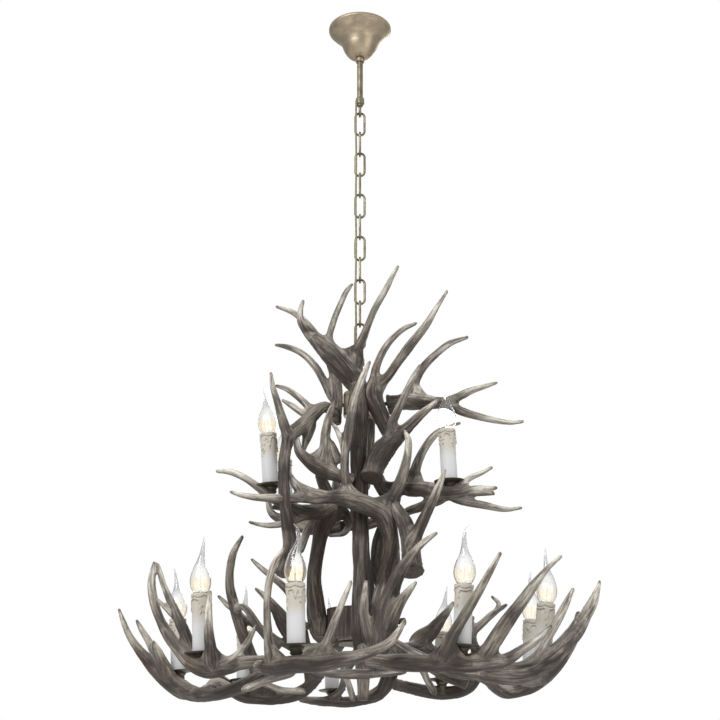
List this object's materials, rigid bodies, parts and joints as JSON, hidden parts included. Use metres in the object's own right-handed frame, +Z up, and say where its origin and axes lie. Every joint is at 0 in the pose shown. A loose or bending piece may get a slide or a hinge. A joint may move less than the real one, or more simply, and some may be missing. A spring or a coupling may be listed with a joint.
{
  "type": "antler chandelier",
  "caption": "Two-tier antler chandelier on a chain, with candle lights on cups, a canopy and a ceiling bracket.",
  "frame": {"origin": "centre of the ceiling bracket's top face, where it meets the ceiling", "axes": "+Z up out of the ceiling face, -Y towards the picture's viewer"},
  "size_m": [0.9275, 0.7605, 1.4839],
  "materials": {
    "antique_brass": "satin champagne",
    "antler": "weathered antler, satin",
    "cap": "plain",
    "chain_brass": "olive antique",
    "cord": "olive gold",
    "dark_bronze": "dark bronze",
    "dark_wood": "dark stain",
    "filament": "glowing",
    "glass": "clear",
    "holder": "white",
    "sleeve": "ivory, satin",
    "steel": "plain",
    "terminal": "white"
  },
  "bodies": {
    "ceiling_mount": {"ceiling_bracket": "steel", "hanging_rod": "chain_brass", "rod_nut": "steel", "terminal_block": "terminal", "hanging_eye": "chain_brass", "supply_cord": "cord"},
    "canopy_body": {"canopy": "antique_brass", "canopy_collar": "antique_brass", "canopy_grub_screw": "steel"},
    "link_01": {"chain_link_01": "chain_brass"},
    "link_02": {"chain_link_02": "chain_brass"},
    "link_03": {"chain_link_03": "chain_brass"},
    "link_04": {"chain_link_04": "chain_brass"},
    "link_05": {"chain_link_05": "chain_brass"},
    "link_06": {"chain_link_06": "chain_brass"},
    "link_07": {"chain_link_07": "chain_brass"},
    "link_08": {"chain_link_08": "chain_brass"},
    "link_09": {"chain_link_09": "chain_brass"},
    "link_10": {"chain_link_10": "chain_brass"},
    "link_11": {"chain_link_11": "chain_brass"},
    "chandelier": {"antler_screws": "dark_bronze", "arm_antler_back": "antler", "arm_antler_left": "antler", "arm_antler_right": "antler", "body_eye": "chain_brass", "bottom_finial": "dark_bronze", "bulb_caps": "cap", "bulb_filaments": "filament", "bulb_glasses": "glass", "candle_sleeves": "sleeve", "centre_tube": "chain_brass", "crown_antler_back": "antler", "crown_antler_left": "antler", "crown_antler_right": "antler", "cup_stems": "dark_bronze", "drip_cups": "dark_bronze", "hub_bolts": "dark_bronze", "lamp_holders": "holder", "lower_hub": "dark_wood", "lower_hub_cap": "dark_bronze", "ring_antler_back": "antler", "ring_antler_back_left": "antler", "ring_antler_back_right": "antler", "ring_antler_front_left": "antler", "ring_antler_front_right": "antler", "ring_antler_inner": "antler", "ring_antler_left": "antler", "ring_antler_left_front": "antler", "ring_antler_right": "antler", "ring_antler_right_back": "antler", "side_antler_upper_left": "antler", "side_antler_upper_right": "antler", "trunk_antler_centre": "antler", "trunk_antler_front": "antler", "trunk_antler_left": "antler", "trunk_antler_left_arm": "antler", "trunk_antler_lower_right": "antler", "trunk_antler_right": "antler", "trunk_antler_right_arm": "antler", "upper_hub": "antique_brass"}
  },
  "joints": [
    {"name": "canopy_slide", "type": "slide", "parent": "ceiling_mount", "child": "canopy_body", "axis": [0, 0, -1], "range_m": [0, 0.045]},
    {"name": "link_01_swing", "type": "hinge", "parent": "ceiling_mount", "child": "link_01", "pos_m": [0, 0, -0.2215], "axis": [0, 1, 0], "range_deg": [-8, 8], "deforming": ["supply_cord"]},
    {"name": "link_02_swing", "type": "hinge", "parent": "link_01", "child": "link_02", "pos_m": [0, 0, -0.2707], "axis": [1, 0, 0], "range_deg": [-8, 8]},
    {"name": "link_03_swing", "type": "hinge", "parent": "link_02", "child": "link_03", "pos_m": [0, 0, -0.3204], "axis": [0, 1, 0], "range_deg": [-8, 8]},
    {"name": "link_04_swing", "type": "hinge", "parent": "link_03", "child": "link_04", "pos_m": [0, 0, -0.3701], "axis": [1, 0, 0], "range_deg": [-8, 8]},
    {"name": "link_05_swing", "type": "hinge", "parent": "link_04", "child": "link_05", "pos_m": [0, 0, -0.4198], "axis": [0, 1, 0], "range_deg": [-8, 8]},
    {"name": "link_06_swing", "type": "hinge", "parent": "link_05", "child": "link_06", "pos_m": [0, 0, -0.4695], "axis": [1, 0, 0], "range_deg": [-8, 8]},
    {"name": "link_07_swing", "type": "hinge", "parent": "link_06", "child": "link_07", "pos_m": [0, 0, -0.5192], "axis": [0, 1, 0], "range_deg": [-8, 8]},
    {"name": "link_08_swing", "type": "hinge", "parent": "link_07", "child": "link_08", "pos_m": [0, 0, -0.5689], "axis": [1, 0, 0], "range_deg": [-8, 8]},
    {"name": "link_09_swing", "type": "hinge", "parent": "link_08", "child": "link_09", "pos_m": [0, 0, -0.6186], "axis": [0, 1, 0], "range_deg": [-8, 8]},
    {"name": "link_10_swing", "type": "hinge", "parent": "link_09", "child": "link_10", "pos_m": [0, 0, -0.6683], "axis": [1, 0, 0], "range_deg": [-8, 8]},
    {"name": "link_11_swing", "type": "hinge", "parent": "link_10", "child": "link_11", "pos_m": [0, 0, -0.718], "axis": [0, 1, 0], "range_deg": [-8, 8]},
    {"name": "chandelier_swing", "type": "hinge", "parent": "link_11", "child": "chandelier", "pos_m": [0, 0, -0.7677], "axis": [1, 0, 0], "range_deg": [-8, 8]}
  ]
}
